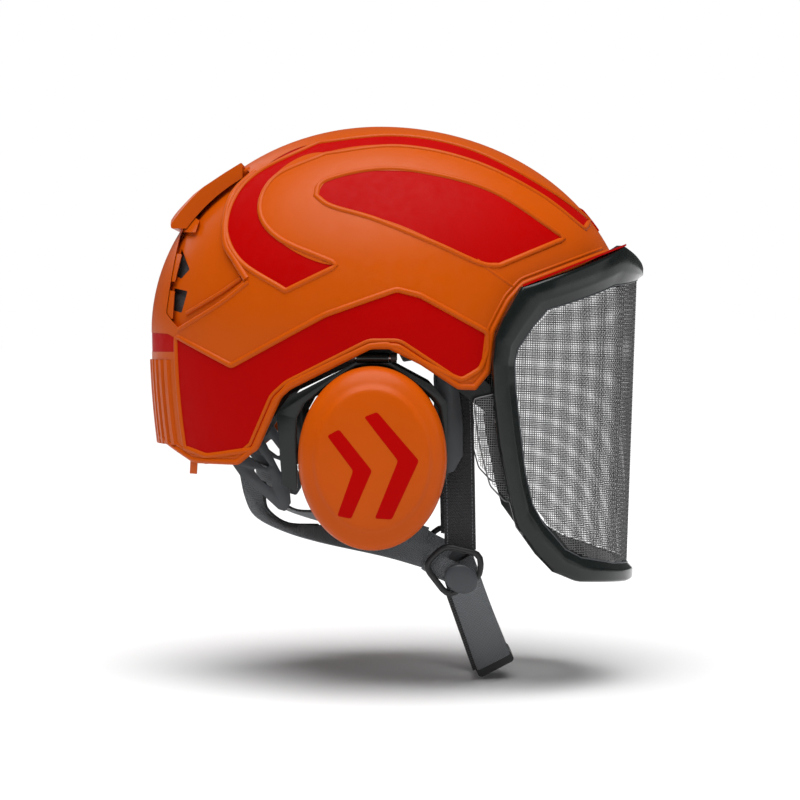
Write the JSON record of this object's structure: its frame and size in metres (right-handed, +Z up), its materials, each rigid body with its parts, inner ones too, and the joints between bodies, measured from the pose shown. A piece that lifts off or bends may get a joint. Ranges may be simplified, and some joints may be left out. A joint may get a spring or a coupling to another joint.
{
  "type": "forestry safety helmet",
  "caption": "Hard shell helmet with coloured inlays, ear muffs on swing-out arms, a tilting wire-mesh face visor and a chin harness.",
  "frame": {"origin": "middle of the headband, where the head is seated, level with the top of the ear arches in the shell rim", "axes": "+X forward towards the visor, +Y towards the wearer's left, +Z up"},
  "size_m": [0.3263, 0.259, 0.3637],
  "materials": {
    "shell_orange": "glossy",
    "inlay_red": "satin",
    "liner_foam": "matte",
    "black_gloss": "glossy",
    "black_plastic": "satin",
    "grey_plastic": "satin",
    "steel": "satin",
    "mesh_steel": "matte",
    "strap_black": "matte",
    "strap_grey": "matte",
    "pad_fabric": "matte"
  },
  "bodies": {
    "root": {"bracket_screws": "steel", "brow_bump": "inlay_red", "brow_pad": "pad_fabric", "buckle_housing": "black_plastic", "buckle_tongue": "black_plastic", "chin_strap_left": "strap_grey", "chin_strap_right": "strap_grey", "cradle_straps": "strap_black", "crown_panel_left": "inlay_red", "crown_panel_right": "inlay_red", "ear_hinge_pins": "steel", "front_strap_left": "strap_black", "front_strap_right": "strap_black", "headband": "black_plastic", "impact_liner": "liner_foam", "lower_band_left": "inlay_red", "lower_band_right": "inlay_red", "neck_bracket_left": "grey_plastic", "neck_bracket_right": "grey_plastic", "outer_shell": "shell_orange", "ratchet_housing": "black_plastic", "rear_insert": "shell_orange", "rear_lip": "shell_orange", "rear_strap_left": "strap_grey", "rear_strap_right": "strap_grey", "side_bracket_left": "black_plastic", "side_bracket_right": "black_plastic", "slider_caps": "grey_plastic", "strap_guide_left": "grey_plastic", "strap_guide_right": "grey_plastic", "strap_slider_left": "black_plastic", "strap_slider_right": "black_plastic", "swoosh_left": "inlay_red", "swoosh_right": "inlay_red", "vent_grille_left": "shell_orange", "vent_grille_right": "shell_orange", "visor_pivot_pins": "steel"},
    "visor": {"visor_frame": "black_gloss", "visor_seal": "inlay_red", "visor_mesh": "mesh_steel", "visor_arms": "black_gloss"},
    "ear_arm_left": {"ear_yoke_left": "black_gloss", "cup_pivot_pins_left": "steel"},
    "ear_cup_left": {"cup_base_left": "black_gloss", "cup_cover_left": "shell_orange", "cup_chevrons_left": "inlay_red", "cup_foam_left": "liner_foam", "ear_cushion_left": "pad_fabric"},
    "ear_arm_right": {"ear_yoke_right": "black_gloss", "cup_pivot_pins_right": "steel"},
    "ear_cup_right": {"cup_base_right": "black_gloss", "cup_cover_right": "shell_orange", "cup_chevrons_right": "inlay_red", "cup_foam_right": "liner_foam", "ear_cushion_right": "pad_fabric"},
    "adjuster": {"adjuster_knob": "black_plastic", "adjuster_pinion": "black_plastic"},
    "rack_left": {"band_rack_left": "black_plastic"},
    "rack_right": {"band_rack_right": "black_plastic"},
    "buckle_button": {"buckle_release": "black_plastic"}
  },
  "joints": [
    {"name": "visor_tilt", "type": "hinge", "parent": "root", "child": "visor", "pos_m": [0.02, 0, 0.005], "axis": [0, -1, 0], "range_deg": [0, 46]},
    {"name": "ear_swing_left", "type": "hinge", "parent": "root", "child": "ear_arm_left", "pos_m": [-0.007, 0.102, -0.0045], "axis": [1, 0, 0], "range_deg": [0, 42]},
    {"name": "ear_swing_right", "type": "hinge", "parent": "root", "child": "ear_arm_right", "pos_m": [-0.007, -0.102, -0.0045], "axis": [-1, 0, 0], "range_deg": [0, 42]},
    {"name": "cup_tilt_left", "type": "hinge", "parent": "ear_arm_left", "child": "ear_cup_left", "pos_m": [-0.007, 0.0965, -0.072], "axis": [1, 0, 0], "range_deg": [-2, 2]},
    {"name": "cup_tilt_right", "type": "hinge", "parent": "ear_arm_right", "child": "ear_cup_right", "pos_m": [-0.007, -0.0965, -0.072], "axis": [-1, 0, 0], "range_deg": [-2, 2]},
    {"name": "band_adjust", "type": "hinge", "parent": "root", "child": "adjuster", "pos_m": [-0.112, 0, -0.048], "axis": [1, 0, 0], "range_deg": [0, 75]},
    {"name": "rack_slide_left", "type": "slide", "parent": "root", "child": "rack_left", "axis": [0, -1, 0], "range_m": [0, 0.008]},
    {"name": "rack_slide_right", "type": "slide", "parent": "root", "child": "rack_right", "axis": [0, 1, 0], "range_m": [0, 0.008]},
    {"name": "buckle_press", "type": "slide", "parent": "root", "child": "buckle_button", "axis": [-0.4617, 0, 0.887], "range_m": [0, 0.0015], "stiffness_N_per_m": 600}
  ],
  "couplings": [
    {"joint": "rack_slide_left", "follows": "band_adjust", "m_per_rad": 0.006},
    {"joint": "rack_slide_right", "follows": "band_adjust", "m_per_rad": 0.006}
  ]
}
